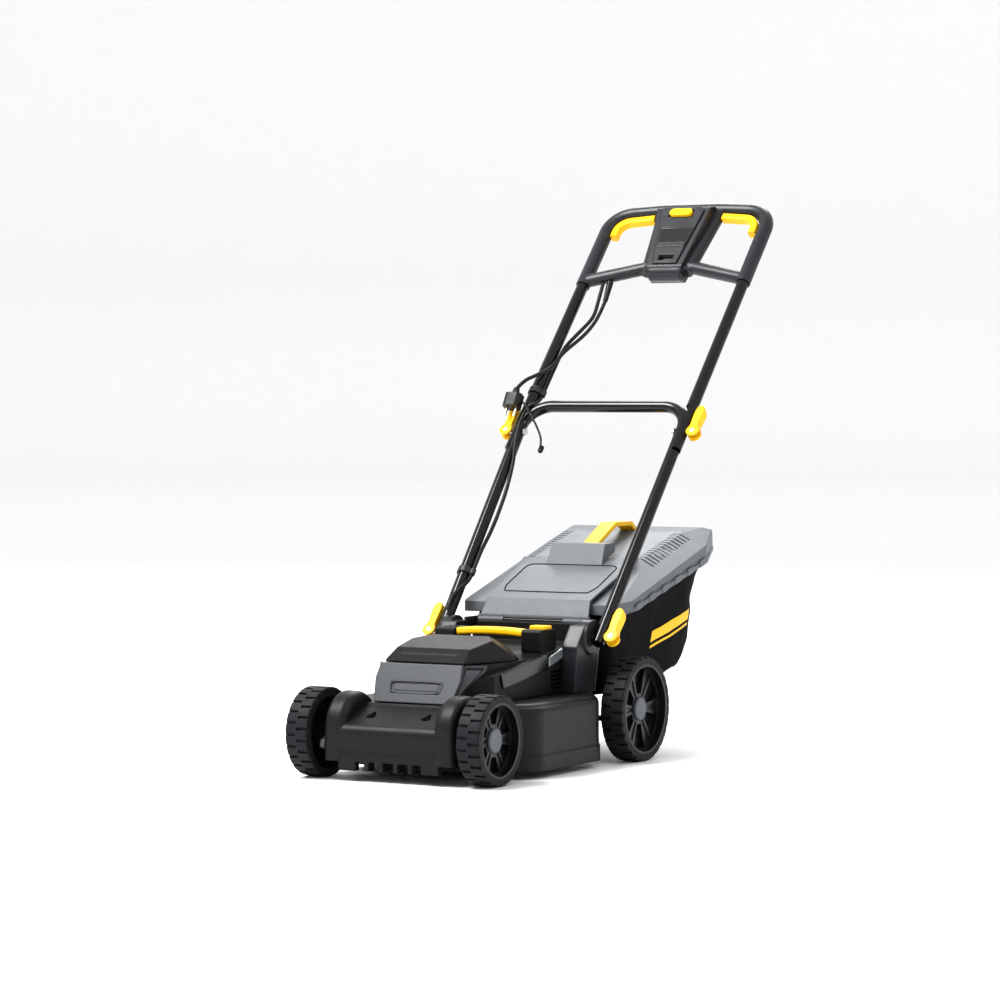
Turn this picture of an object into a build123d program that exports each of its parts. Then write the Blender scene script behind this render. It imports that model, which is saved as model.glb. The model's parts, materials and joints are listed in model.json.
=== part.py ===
from build123d import *
from math import atan2, degrees, pi, radians, sqrt, tan
import os

# Corded electric push lawn mower.  Millimetres, +Z up, front towards -Y, operator behind at +Y.
# The model is laid out from the front axle line: x = 0 on the centre plane, y = 0 at the front
# wheels' axis, z = 0 on the ground.  export() moves every piece so that the origin is the bottom
# centre of the whole mower.

# ---- driving dimensions -------------------------------------------------------------------
WHEELBASE = 474
FRONT_WHEEL_R = 75
REAR_WHEEL_R = 91
WHEEL_WIDTH = 42
FRONT_OUTER_X = 185          # outer face of a front tyre
REAR_OUTER_X = 205           # outer face of a rear tyre
AXLE_R = 5
CRANK_Y = 34.4               # axle stub behind its pivot shaft, at the lowest cut
CRANK_Z = 16.1               # axle stub above its pivot shaft, at the lowest cut
RUN_GAP = 0.06               # radial running clearance of a shaft in its bore

TUBE_R = 11                  # steel handle tube
TUBE_WALL = 1.5
LOWER_PIVOT = (158.5, 390.4, 218.4)      # lower handle bolt, left side (x mirrored on the right)
UPPER_PIVOT = (166.4, 683.4, 569.2)      # upper handle bolt
LAP_X = 167.45               # plane where the flattened tube ends lie side by side
TUBE_ENTRY = (168.5, 931.6, 841.6)       # where the upper tube enters the handle loop
CROSSBAR = (722, 616)                    # y, z of the crossbar of the lower handle
BOLT_R = 4
LEVER_OUT = 23.4               # cam lever's barrel outboard of the tube's axis

LOOP_R = 13.5                # moulded handle loop
LOOP_TOP = 567.3             # top bar's axis, along the handle from the upper bolt
LOOP_FOOT = 372              # lower end of the loop's side bars
LOOP_CORNER_R = 50

BLADE_LENGTH = 320
SPINDLE_Y = 208
DECK_HALF = 182              # deck half width between the wheels
DECK_FRONT_Y = 90
DECK_REAR_Y = 388
DECK_BOTTOM = 12
DECK_TOP = 125
DECK_WALL = 4
GUARD_R = 60                 # mudguard dome beside each front wheel, and its centre
GUARD_Y = 7
GUARD_Z = 85
NOSE_HALF = 114
HOUSING_HALF = 112

# Cables run beside the right-hand tube.  Each point is x, distance along the tube from its bolt and
# distance in front of the tube's axis.
CABLE_R = 3.5
POWER_CORD = [
    (-115, 344, -12.4), (-116.5, 308, -16), (-125, 268, -15.5), (-138, 233, -10), (-147, 200, 0),
    (-152, 160, 6), (-157, 136, 16), (-168, 117, 25), (-181, 98, 32), (-187, 78, 33),
]
SLEEVE_TOP = (-115, 383.6, -3)
MOTOR_CABLE_UPPER = [
    (-129, 381, -3), (-128.4, 345, -10), (-126, 303, -15), (-143, 258, -12), (-153.5, 217, -5),
    (-154, 165, -4), (-154, 110, -4),
]
MOTOR_CABLE_FOLD = [(-154, 110, -4), (-154, 86, -4), (-153.8, 66, 5), (-156, 44, 21.5), (-159, 14, 20)]
MOTOR_CABLE_LEG = [
    (-156, 426, 17), (-149.2, 385, 6), (-147.4, 330, -5), (-146.4, 275, -8), (-145.4, 225, -6),
    (-145, 185, 0), (-145, 145, 0),
]
MOTOR_CABLE_FOOT = [
    (-145, 145, 0), (-145, 116, 0), (-147.5, 92, 10), (-151, 70, 19), (-149, 47, 26), (-143, 33, 33.5),
]
CABLE_EXIT = (-139, 386, 250)            # where the motor cable enters the deck
PLUG_DIR = Vector(0, -0.5, -0.8660254)   # the plug hangs pins down, leaning forward
PIN_R = 2.4
PIN_LENGTH = 19
PIN_SPACING = 19

MOUTH_Y = 457                # plane where the grass box meets the deck
MOUTH_HALF = 104
MOUTH_Z = (114, 230)
FLAP_HINGE = (441, 241)      # y, z of the rear flap's hinge pin
FLAP_PIN_R = 2.5

os.makedirs("parts", exist_ok=True)

# ---- derived places -----------------------------------------------------------------------
def along(start, end):
    """Unit direction from start to end in the centre plane (y, z)."""
    dy, dz = end[1] - start[1], end[2] - start[2]
    length = sqrt(dy * dy + dz * dz)
    return dy / length, dz / length


UPPER_DIR = along(UPPER_PIVOT, TUBE_ENTRY)
LOWER_DIR = along(LOWER_PIVOT, UPPER_PIVOT)

# Local frame of the handle loop: x across, y up along the handle, z out of its front face.
LOOP_PLANE = Plane(
    origin=(0, UPPER_PIVOT[1], UPPER_PIVOT[2]),
    x_dir=(1, 0, 0),
    z_dir=(0, -UPPER_DIR[1], UPPER_DIR[0]),
)

REAR_MOST = UPPER_PIVOT[1] + LOOP_TOP * UPPER_DIR[0] + LOOP_R
Y_CENTRE = (REAR_MOST - FRONT_WHEEL_R) / 2


def export(shape, name):
    export_step(Pos(0, -Y_CENTRE, 0) * shape, f"parts/{name}.step")


# ---- small helpers ------------------------------------------------------------------------
def block(x0, x1, y0, y1, z0, z1):
    return Pos((x0 + x1) / 2, (y0 + y1) / 2, (z0 + z1) / 2) * Box(x1 - x0, y1 - y0, z1 - z0)


def x_rod(radius, x0, x1, y, z):
    return Pos((x0 + x1) / 2, y, z) * Rot(0, 90, 0) * Cylinder(radius, abs(x1 - x0))


def z_rod(radius, z0, z1, x=0, y=SPINDLE_Y):
    return Pos(x, y, (z0 + z1) / 2) * Cylinder(radius, z1 - z0)


def prism(plane, points, depth):
    """Extrude an outline drawn on a plane along the plane's normal."""
    face = make_face(Polyline(*points, close=True)).face()
    if face.normal_at().Z < 0:
        face = -face
    return plane * (Part() + Solid.extrude(face, Vector(0, 0, depth)))


def side_slab(points, half):
    """Extrude a (y, z) outline across x, from -half to +half."""
    return prism(Plane.YZ.offset(-half), points, 2 * half)


def front_slab(points, y0, y1):
    """Extrude an (x, z) outline backwards, from y0 to y1."""
    return Pos(0, y1, 0) * prism(Plane.XZ, points, y1 - y0)


def plan_slab(points, z0, z1):
    """Extrude an (x, y) outline upwards."""
    return prism(Plane.XY.offset(z0), points, z1 - z0)


def common(first, second):
    """The solid that two shapes share."""
    return Part() + (first & second).solids()


def mirrored(points):
    """Complete a right-hand half outline (x > 0) with its mirror image."""
    return points + [(-x, y) for x, y in reversed(points)]


def both_sides(shape):
    return Compound([shape, mirror(shape, about=Plane.YZ)])


def tube(path, radius, bore=0):
    start = Plane(origin=path @ 0, z_dir=path % 0)
    body = sweep(start * Circle(radius), path=path)
    if bore:
        body -= sweep(start * Circle(bore), path=path)
    return body


# ---- wheels -------------------------------------------------------------------------------
def wheel(radius, y, outer_x, lugs):
    """Tyre, rim and hub cap of the left wheel (x > 0), as three solids."""
    inner_x = outer_x - WHEEL_WIDTH
    z = radius
    band = radius - 13
    tyre = x_rod(radius, inner_x, outer_x, y, z)
    tyre = fillet(tyre.edges().filter_by(GeomType.CIRCLE), 3)
    tyre -= x_rod(band, inner_x - 1, outer_x + 1, y, z)
    groove_depth, groove_width = 3.5, 5
    middle = outer_x - WHEEL_WIDTH / 2
    for row, (x0, x1) in enumerate([(inner_x - 1, middle - 1.5), (middle + 1.5, outer_x + 1)]):
        cuts = []
        for i in range(lugs):
            turn = 360 / lugs * (i + 0.5 + 0.5 * row)
            groove = block(x0, x1, -groove_width / 2, groove_width / 2, -radius - 2, -radius + groove_depth)
            cuts.append(Pos(0, y, z) * Rot(turn, 0, 0) * groove)
        tyre -= cuts

    web = outer_x - 14
    rim = x_rod(band, inner_x, outer_x, y, z) - x_rod(band - 4, inner_x - 1, outer_x + 1, y, z)
    rim += x_rod(band - 3.9, web - 12, web, y, z)
    rim += x_rod(15, inner_x - 2, web, y, z)
    rim -= x_rod(AXLE_R + RUN_GAP, inner_x - 5, outer_x, y, z)
    for i in range(6):
        turn = 60 * i
        pocket = plan_slab([(-7, 27), (7, 27), (0.27 * band, band - 9), (-0.27 * band, band - 9)], -2, 20)
        pocket = Pos(web - 6, y, z) * Rot(turn, 0, 0) * Rot(0, 90, 0) * Rot(0, 0, 90) * pocket
        rim -= pocket
        recess = plan_slab([(-2, 24), (2, 24), (0.1 * band, band - 7), (-0.1 * band, band - 7)], -2, 2)
        rim -= Pos(web, y, z) * Rot(turn + 30, 0, 0) * Rot(0, 90, 0) * Rot(0, 0, 90) * recess
    cap = x_rod(20.5, web, web + 5, y, z)
    cap = fillet(cap.edges().sort_by(Axis.X)[-1], 3)
    cap -= x_rod(15, web - 1, web + 2.5, y, z)
    return tyre, rim, cap


def make_wheels():
    for end, radius, y, outer_x, lugs in (
        ("front", FRONT_WHEEL_R, 0, FRONT_OUTER_X, 24),
        ("rear", REAR_WHEEL_R, WHEELBASE, REAR_OUTER_X, 28),
    ):
        pieces = wheel(radius, y, outer_x, lugs)
        for piece, name in zip(pieces, ("tyre", "rim", "hub_cap")):
            export(piece, f"{end}_left_{name}")
            export(mirror(piece, about=Plane.YZ), f"{end}_right_{name}")


# ---- axles --------------------------------------------------------------------------------
def make_axle(end, radius, y, outer_x, arm_x):
    """Crank axle: a pivot shaft across the deck, an arm at each side and a stub in each wheel."""
    pivot = (y - CRANK_Y, radius - CRANK_Z)
    web = outer_x - 14
    axle = x_rod(AXLE_R, -arm_x - 1, arm_x + 1, *pivot)
    for side in (-1, 1):
        axle += x_rod(AXLE_R, side * arm_x, side * (web + 2.2), y, radius)
        slot = SlotCenterToCenter(sqrt(CRANK_Y**2 + CRANK_Z**2), 2 * AXLE_R + 8)
        arm = Plane.YZ * extrude(slot, 8)
        arm = Rot(degrees(atan2(CRANK_Z, CRANK_Y)), 0, 0) * arm
        x0 = side * arm_x if side > 0 else side * arm_x - 8
        axle += Pos(x0, (pivot[0] + y) / 2, (pivot[1] + radius) / 2) * arm
    export(axle, f"{end}_axle")
    nut = x_rod(9, web + 0.3, web + 2.2, y, radius) - x_rod(AXLE_R, web, web + 3, y, radius)
    export(both_sides(nut), f"{end}_axle_nuts")


# ---- deck ---------------------------------------------------------------------------------
def rounded_plan(half, y0, y1, z0, z1, corner):
    shape = block(-half, half, y0, y1, z0, z1)
    return fillet(shape.edges().filter_by(Axis.Z), corner)


def tunnel_points(grow):
    """Side outline of the discharge tunnel's hollow, grown outwards by grow."""
    return [
        (345, DECK_BOTTOM + 18 - grow), (380, 26 - grow), (MOUTH_Y - 8, MOUTH_Z[0] - grow),
        (MOUTH_Y, MOUTH_Z[0] - grow), (MOUTH_Y, MOUTH_Z[1] + grow), (444, MOUTH_Z[1] + grow),
        (418, 190 + grow), (345, 118 + grow),
    ]


def make_deck():
    body = rounded_plan(DECK_HALF, DECK_FRONT_Y, DECK_REAR_Y, DECK_BOTTOM, DECK_TOP, 60)
    top_edges = body.edges().filter_by(lambda e: e.center().Z > DECK_TOP - 0.1)
    body = fillet(top_edges, 16)
    body += z_rod(172, DECK_BOTTOM, DECK_TOP)
    body += rounded_plan(DECK_HALF + 2, DECK_FRONT_Y - 2, DECK_REAR_Y + 2, DECK_BOTTOM, 39, 62)
    nose = [(-50, 33), (-50, 49), (-53, 52), (-53, 90), (25, 124), (70, 124), (70, 33)]
    nose_block = side_slab(nose, NOSE_HALF)
    front_edge = nose_block.edges().filter_by(Axis.X).filter_by(lambda e: e.center().Y < -52 and e.center().Z > 80)
    body += fillet(front_edge, 18)
    body += block(-NOSE_HALF, NOSE_HALF, 20, 340, 60, DECK_TOP)
    for side in (-1, 1):
        low = block(side * 104 - 20, side * 104 + 20, -GUARD_R + GUARD_Y, GUARD_R + GUARD_Y, 33, GUARD_Z)
        dome = x_rod(GUARD_R, side * 84, side * 124, GUARD_Y, GUARD_Z)
        for solid, kind in ((dome, GeomType.CIRCLE), (low, Axis.Z)):
            edges = solid.edges().filter_by(kind)
            solid = fillet(edges.filter_by(lambda e: abs(e.center().X) > 104), 9)
            edges = solid.edges().filter_by(kind)
            body += fillet(edges.filter_by(lambda e: abs(e.center().X) < 85), 16)
    body += side_slab(tunnel_points(4), MOUTH_HALF + 4)

    hollow = rounded_plan(DECK_HALF - DECK_WALL, DECK_FRONT_Y + 4, DECK_REAR_Y - 4, 0, DECK_TOP - 5, 57)
    hollow += z_rod(168, 0, DECK_TOP - 5)
    body -= hollow
    nose_hollow = [(-46, 20), (-46, 88), (26, 119), (70, 119), (70, 20)]
    chamber = z_rod(172, 0, 140)
    guards = x_rod(GUARD_R - DECK_WALL, -120, 120, GUARD_Y, GUARD_Z)
    guards += block(-120, 120, -GUARD_R + GUARD_Y + 4, GUARD_R + GUARD_Y - 4, 33, GUARD_Z)
    body -= side_slab(nose_hollow, NOSE_HALF - 4) - chamber
    ends = guards - block(-NOSE_HALF + 4, NOSE_HALF - 4, -60, 90, 0, 200)
    body -= ends - chamber
    body -= side_slab(tunnel_points(0), MOUTH_HALF)

    boss = z_rod(34, 92, DECK_TOP - 4) + Pos(0, SPINDLE_Y, 78) * Cone(18, 34, 28)
    body += boss
    body -= z_rod(11, 60, 72) + z_rod(7, 50, 140)
    for i in range(4):
        hole = Rot(0, 0, 45 + 90 * i) * Pos(41, 0, 120) * Cylinder(2, 30)
        body -= Pos(0, SPINDLE_Y, 0) * hole
    for side in (-1, 1):
        lug = block(0, 10, 425, 454, 62, 98)
        body += Pos(side * 99 - 5, 0, 0) * lug
        body += block(side * 79.5 - 16.5, side * 79.5 + 16.5, -50, -38, 18, 36)
    for x in (-42, -14, 14, 42):
        body += block(x - 4, x + 4, -50, -30, 18, 36)
    bore = AXLE_R + RUN_GAP
    body -= x_rod(bore, -140, 140, -CRANK_Y, FRONT_WHEEL_R - CRANK_Z)
    body -= x_rod(bore, -140, 140, WHEELBASE - CRANK_Y, REAR_WHEEL_R - CRANK_Z)
    export(body, "deck_shell")


# ---- motor housing ------------------------------------------------------------------------
CAP_BASE = mirrored([(76, 68), (104, 188), (96, 215), (66, 238)])


def housing_plan(inset):
    return mirrored([
        (70 - inset, 28 + inset), (78 - inset, 66), (HOUSING_HALF - inset, 106),
        (HOUSING_HALF - inset, 448 - inset),
    ])


def make_housing():
    top = [(30, DECK_TOP + 0.3), (34, 129), (63, 186), (75, 188), (240, 190), (290, 198),
           (418, 206), (421, 239), (433, 240.5), (433, 214), (414, 186),
           (349, DECK_TOP + 0.3)]
    outer = common(side_slab(top, 150), plan_slab(housing_plan(0), 100, 260))
    shoulder = side_slab([(0, 100), (0, 165), (100, 169), (290, 197), (460, 222), (460, 100)], 130)
    core = plan_slab(mirrored([(72, 0), (104, 188), (104, 448)]), 100, 260)
    outer = common(outer, shoulder) + common(outer, core)
    inner_side = [(38, DECK_TOP), (40, 132), (66, 182), (240, 184), (290, 192), (404, 199),
                  (404, 187), (345, DECK_TOP)]
    inner = common(side_slab(inner_side, 150), plan_slab(housing_plan(4), 100, 260))
    low = side_slab([(0, 100), (0, 161), (100, 165), (290, 192), (460, 217), (460, 100)], 130)
    high = plan_slab(mirrored([(66, 20), (100, 188), (100, 440)]), 100, 260)
    inner = common(inner, low) + common(inner, high)
    outer -= inner
    outer -= side_slab(tunnel_points(4.4), MOUTH_HALF + 4.4)
    for side in (-1, 1):
        mount = block(66, 104, 278, 332, 196, 236)
        mount = fillet(mount.edges().filter_by(Axis.X), 6)
        outer += mount if side > 0 else mirror(mount, about=Plane.YZ)
    outer -= block(66.7, 100.3, 302.7, 327.3, 222, 240)
    for i in range(5):
        slot = block(HOUSING_HALF - 6, HOUSING_HALF + 2, 300, 338, 134 + 7 * i, 137.5 + 7 * i)
        outer -= [slot, mirror(slot, about=Plane.YZ)]
    export(outer, "motor_housing")

    cap = plan_slab(CAP_BASE, 190.3, 232)
    front_slope = Plane(origin=(0, 68, 208.5), z_dir=(0, -0.177, 0.984))
    cap = split(cap, bisect_by=front_slope, keep=Keep.BOTTOM)
    rear_slope = Plane(origin=(0, 238, 214), z_dir=(0, 0.30, 0.954))
    cap = split(cap, bisect_by=rear_slope, keep=Keep.BOTTOM)
    front_low, rear_low, crown = Vector(78, 70, 193), Vector(103, 189, 197), Vector(77, 157, 225)
    tail_low = Vector(74, 238, 200)
    for first, second in ((front_low, rear_low), (rear_low, tail_low)):
        outward = (second - first).cross(crown - first)
        cap = split(cap, bisect_by=Plane(origin=first, z_dir=outward), keep=Keep.BOTTOM)
    cap = split(cap, bisect_by=Plane.YZ, keep=Keep.TOP)
    cap = cap + mirror(cap, about=Plane.YZ)
    nose = Plane(origin=(0, 69, 194), z_dir=(0, -0.577, 0.817))
    cap = split(cap, bisect_by=nose, keep=Keep.BOTTOM)
    cavity = plan_slab(mirrored([(54, 84), (82, 186), (76, 206), (52, 222)]), 185, 204)
    export(cap - cavity, "motor_cap")


def make_front_panel():
    slab = side_slab([(26.5, 127.3), (56.5, 189.8), (62.5, 189.8), (62.5, 186.3), (33, 128.5), (29.5, 125.6)], 100)
    outline = mirrored([(73, 120), (82, 165), (78, 195)])
    slab = common(slab, front_slab(outline, -100, 200))
    recess = front_slab(mirrored([(46.5, 141.5), (49, 161)]), -100, 200)
    lean = (189.8 - 127.3) / (56.5 - 26.5)
    depth = 2.5
    cutter = side_slab([(0, 127.3 - lean * 26.5), (26.5, 127.3), (56.5, 189.8), (56.5 + depth, 189.8),
                        (26.5 + depth, 127.3), (depth, 127.3 - lean * 26.5)], 60)
    slab -= common(cutter, recess)
    export(slab, "front_panel")


def make_side_trims():
    outline = [(124, 172), (282, 196), (286, 170), (132, 147)]
    strip = prism(Plane.YZ.offset(HOUSING_HALF), outline, 3)
    strip = fillet(strip.edges().filter_by(Axis.X), 4)
    export(both_sides(strip), "side_trims")


def make_carry_handle():
    lift = 3
    path = Spline((-65, 294, 229), (0, 294, 229 + lift), (65, 294, 229),
                  tangents=[(1, 0, 0.12), (1, 0, -0.12)])
    section = Plane(origin=path @ 0, x_dir=(0, 1, 0), z_dir=path % 0) * RectangleRounded(24, 13, 5)
    export(sweep(section, path=path), "carry_handle")
    button = fillet(block(67, 100, 303, 327, 229, 242).edges().filter_by(Axis.Z), 4)
    button = fillet(button.edges().group_by(Axis.Z)[-1], 2)
    export(button, "height_button")


# ---- motor and blade ----------------------------------------------------------------------
def make_motor():
    can = z_rod(46, DECK_TOP + 0.3, 181)
    can -= z_rod(28.5, 132, 173)
    can -= z_rod(8, 120, 190)
    can -= z_rod(11, 173.5, 190)
    screws = []
    for i in range(4):
        place = Rot(0, 0, 45 + 90 * i) * Pos(41, 0, 0)
        shank = Pos(0, SPINDLE_Y, 0) * place * (Pos(0, 0, 123) * Cylinder(2, 16))
        head = Pos(0, SPINDLE_Y, 0) * place * (Pos(0, 0, 118) * Cylinder(4, 4))
        can -= shank
        screws.append(shank + head)
    export(Compound(screws), "motor_screws")
    export(can, "motor_stator")
    bearing = z_rod(11, 0, 6.5) - z_rod(6 + RUN_GAP, -1, 8)
    export(Compound([Pos(0, 0, 65) * bearing, Pos(0, 0, 173.5) * bearing]), "motor_bearings")
    rotor = z_rod(6, 36, 180) + z_rod(27.5, 138, 168)
    rotor -= z_rod(4, 30, 56)
    export(rotor, "motor_rotor")
    holder = z_rod(16, 34.2, 58) + z_rod(62, 50, 53)
    for i in range(8):
        vane = block(14, 60, -1.2, 1.2, 53, 62)
        holder += Pos(0, SPINDLE_Y, 0) * Rot(0, 0, 45 * i) * vane
    holder -= z_rod(6, 30, 70)
    holder -= z_rod(17, 58, 70)
    export(holder, "blade_holder")
    half = BLADE_LENGTH / 2
    blade = block(-half, half, SPINDLE_Y - 23, SPINDLE_Y + 23, 31.2, 34.2)
    for side in (-1, 1):
        corner = block(half - 62, half + 1, side * 23 - 9, side * 23 + 9, 30, 36)
        if side < 0:
            corner = Pos(-2 * half + 61, 0, 0) * corner
        blade -= Pos(0, SPINDLE_Y, 0) * corner
        sail = side_slab([(0, 34.2), (9, 40), (9, 43), (0, 37.2)], 28)
        x = side * -(half - 32)
        y = SPINDLE_Y + side * 14
        blade += Pos(x, y, -0.2) * (sail if side > 0 else Rot(0, 0, 180) * sail)
    blade -= z_rod(4, 20, 50)
    export(blade, "blade")
    hexagon = Pos(0, SPINDLE_Y, 23) * extrude(RegularPolygon(9.5, 6), 6)
    export(hexagon + z_rod(14, 29, 31.2) + z_rod(4, 30, 55), "blade_bolt")


# ---- handle -------------------------------------------------------------------------------
def place_on_tube(pivot, direction, side):
    """Local frame at a handle bolt: x outboard, y up along the tube."""
    across = Vector(side, 0, 0)
    up = Vector(0, *direction)
    return Plane(origin=(side * pivot[0], pivot[1], pivot[2]), x_dir=across, z_dir=across.cross(up))


def lap_box(direction, side, x0, x1, s0, s1):
    """Box beside the lap plane, x0 to x1 outboard of it and s0 to s1 along the tube."""
    frame = place_on_tube((LAP_X, *UPPER_PIVOT[1:]), direction, side)
    return frame * block(x0, x1, s0, s1, -16, 16)


def make_lower_handle():
    px, py, pz = LOWER_PIVOT
    ux, uy, uz = UPPER_PIVOT
    stretch = (CROSSBAR[0] - py) / (uy - py)
    corner_x = px + (ux - px) * stretch
    below = 13 / (uy - py) * LOWER_DIR[0]
    foot = (px - (ux - px) * below, py - (uy - py) * below, pz - (uz - pz) * below)
    route = [foot, (corner_x, *CROSSBAR), (-corner_x, *CROSSBAR), (-foot[0], foot[1], foot[2])]
    path = FilletPolyline(*route, radius=52)
    frame = tube(path, TUBE_R, TUBE_R - TUBE_WALL)
    for side in (-1, 1):
        start = Vector(side * foot[0], foot[1], foot[2])
        end = Vector(side * corner_x, *CROSSBAR)
        plugged = Solid.make_cylinder(TUBE_R - TUBE_WALL, 24, Plane(origin=start, z_dir=end - start))
        frame += plugged
        reach = (Vector(side * ux, uy, uz) - start).length
        flat = Plane(origin=start + (end - start).normalized() * (reach - 48), z_dir=end - start)
        frame += Solid.make_cylinder(TUBE_R - TUBE_WALL, 50, flat)
        frame -= lap_box(LOWER_DIR, side, -0.15, 40, -46, 80)
        frame -= x_rod(BOLT_R + RUN_GAP, side * 140, side * 180, py, pz)
        frame -= x_rod(BOLT_R + RUN_GAP, side * 140, side * 180, uy, uz)
    export(frame, "lower_handle")


def t_bolt(pivot, direction, head_x, side):
    """Cam lever's bolt: dome head inboard, shank through the joint, cross barrel in the lever."""
    out = pivot[0] + LEVER_OUT
    shank = x_rod(BOLT_R, head_x, out, pivot[1], pivot[2])
    head = x_rod(8, head_x - 4, head_x, pivot[1], pivot[2])
    head = fillet(head.edges().sort_by(Axis.X)[0], 3)
    frame = Plane(origin=(out, pivot[1], pivot[2]), z_dir=(0, -direction[1], direction[0]))
    barrel = Pos(*frame.origin) * Solid.make_cylinder(
        4.5, 18, Plane(origin=Vector(*frame.z_dir) * -9, z_dir=frame.z_dir))
    bolt = shank + head + barrel
    return bolt if side > 0 else mirror(bolt, about=Plane.YZ)


def cam_lever(pivot, direction):
    """Left-hand cam lever, closed: its grip lies along the tube."""
    out = pivot[0] + LEVER_OUT
    up = Vector(0, *direction)
    frame = Plane(origin=(out, pivot[1], pivot[2]), x_dir=(1, 0, 0), z_dir=Vector(1, 0, 0).cross(up))
    head = Cylinder(12, 17)
    grip = [(-11, 0), (-8, 14), (-9, 46), (-7, 56), (-1, 60), (5, 57), (8, 48), (6, 18), (10, 4)]
    lever = head + prism(Plane.XY.offset(-8.5), grip, 17)
    lever = fillet(lever.edges().filter_by(lambda e: e.center().Y > 45 and e.length < 12), 1.5)
    lever -= Cylinder(4.5 + RUN_GAP, 30)
    lever -= Pos(0, -8, 0) * Box(40, 26, 8.8)
    lever -= Cylinder(5.5, 8.8)
    return frame * lever


def make_levers():
    for name, pivot, direction, head_x in (
        ("lower", LOWER_PIVOT, LOWER_DIR, 126.3),
        ("upper", (TUBE_ENTRY[0], *UPPER_PIVOT[1:]), UPPER_DIR, UPPER_PIVOT[0] - TUBE_R - 0.3),
    ):
        export(Compound([t_bolt(pivot, direction, head_x, s) for s in (1, -1)]), f"{name}_bolts")
        lever = cam_lever(pivot, direction)
        export(lever, f"{name}_left_lever")
        export(mirror(lever, about=Plane.YZ), f"{name}_right_lever")


def make_brackets():
    _, py, pz = LOWER_PIVOT
    drum = x_rod(31, 126.6, 147, py, pz)
    drum = fillet(drum.edges().sort_by(Axis.X)[-1], 2)
    pillar = [(332, 125.3), (338, 205), (366, 240), (412, 240), (418, 190), (404, 125.3)]
    pillar = prism(Plane.YZ.offset(113), pillar, 29)
    bracket = drum + pillar + block(113, 118, 400, 448, 228, 246)
    bracket -= x_rod(BOLT_R + RUN_GAP, 110, 160, py, pz)
    bracket -= x_rod(9, 110, 126.6, py, pz)
    bracket -= x_rod(FLAP_PIN_R, 100, 120, *FLAP_HINGE)
    export(both_sides(bracket), "handle_brackets")


def make_upper_tubes():
    up = Vector(0, *UPPER_DIR)
    _, uy, uz = UPPER_PIVOT
    top = LOOP_FOOT + 70
    bolt = Vector(TUBE_ENTRY[0], uy, uz)
    body = Part() + Solid.make_cylinder(TUBE_R, top + 42, Plane(origin=bolt - up * 42, z_dir=up))
    body -= Solid.make_cylinder(TUBE_R - TUBE_WALL, top, Plane(origin=bolt + up * 64, z_dir=up))
    body -= lap_box(UPPER_DIR, 1, -40, 0.15, -80, 60)
    body -= x_rod(BOLT_R, 140, 200, uy, uz)
    export(both_sides(body), "upper_tubes")


# ---- handle loop --------------------------------------------------------------------------
def loop_path():
    x = TUBE_ENTRY[0]
    pts = [(x, LOOP_FOOT), (x, LOOP_TOP - 8), (60, LOOP_TOP), (-60, LOOP_TOP), (-x, LOOP_TOP - 8), (-x, LOOP_FOOT)]
    return FilletPolyline(*[(px, py, 0) for px, py in pts], radius=[LOOP_CORNER_R, 300, 300, LOOP_CORNER_R])


SWITCH_BOX_SIDE = [(393, -17), (393, 12), (404, 19), (545, 31), (557, 20), (557, -17)]


def make_loop():
    path = loop_path()
    shell = tube(path, LOOP_R)
    bore = tube(path, TUBE_R + 0.05)
    for side in (-1, 1):
        arm = Solid.make_cylinder(12.5, 125, Plane(origin=(side * 162, 385, 0), z_dir=(side * -1, 0.27, 0)))
        shell += arm
        foot, head = Vector(side * 42, 402, 0), Vector(side * 60, 560, 0)
        strut = Plane(origin=foot, z_dir=head - foot)
        shell += Solid.make_cylinder(12, (head - foot).length, strut)
    barrel = Pos(0, 405, -1) * Rot(0, 90, 0) * Cylinder(18, 74)
    shell += fillet(barrel.edges(), 7)
    body = side_slab(SWITCH_BOX_SIDE, 70)
    body = common(body, plan_slab(mirrored([(34, 380), (58, 552), (58, 570)]), -40, 40))
    shell += body
    cavity = Pos(0, 500, 2) * Box(60, 60, 26)
    shell -= bore
    shell -= cavity
    shell -= Pos(0, 421, 0) * Box(28, 11, 80)
    shell -= Pos(0, 529, 20) * Box(48, 18, 40)
    front = split(shell, bisect_by=Plane.XY, keep=Keep.TOP)
    rear = split(shell, bisect_by=Plane.XY, keep=Keep.BOTTOM)
    export(LOOP_PLANE * front, "loop_front")
    export(LOOP_PLANE * rear, "loop_rear")

    panel = plan_slab(mirrored([(25, 408), (46, 536), (38, 545)]), -40, 60)
    panel = common(panel, side_slab([(404, 19), (545, 31), (545, 34), (404, 22)], 70))
    panel -= Pos(0, 529, 20) * Box(49, 18.6, 60)
    panel -= Pos(0, 421, 0) * Box(30, 13, 80)
    export(LOOP_PLANE * panel, "switch_panel")

    button = Pos(0, 529, 27) * extrude(SlotOverall(47, 17.4), 10)
    export(LOOP_PLANE * button, "lock_button")
    export(LOOP_PLANE * (Pos(0, 500, 2) * Box(44, 40, 25.8)), "switch_box")
    make_bails()


def make_bails():
    inset = 22.5
    x = TUBE_ENTRY[0] - inset
    top = LOOP_TOP - inset
    path = FilletPolyline((72, top, 0), (x, top - 8, 0), (x, top - 46, 0), radius=LOOP_CORNER_R - inset)
    section = Plane(origin=path @ 0, x_dir=(0, 1, 0), z_dir=path % 0) * RectangleRounded(15, 17, 4)
    bail = sweep(section, path=path)
    export(LOOP_PLANE * bail, "bail_left")
    export(LOOP_PLANE * mirror(bail, about=Plane.YZ), "bail_right")


# ---- grass box and flap -------------------------------------------------------------------
LID_TOP = [(462, 270), (590, 321), (634, 344), (788, 387), (838, 394), (858, 386)]
RIM_FRONT = (462, 252)
RIM_REAR = (862, 357)
RIM_SLOPE = (RIM_REAR[1] - RIM_FRONT[1]) / (RIM_REAR[0] - RIM_FRONT[0])


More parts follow.
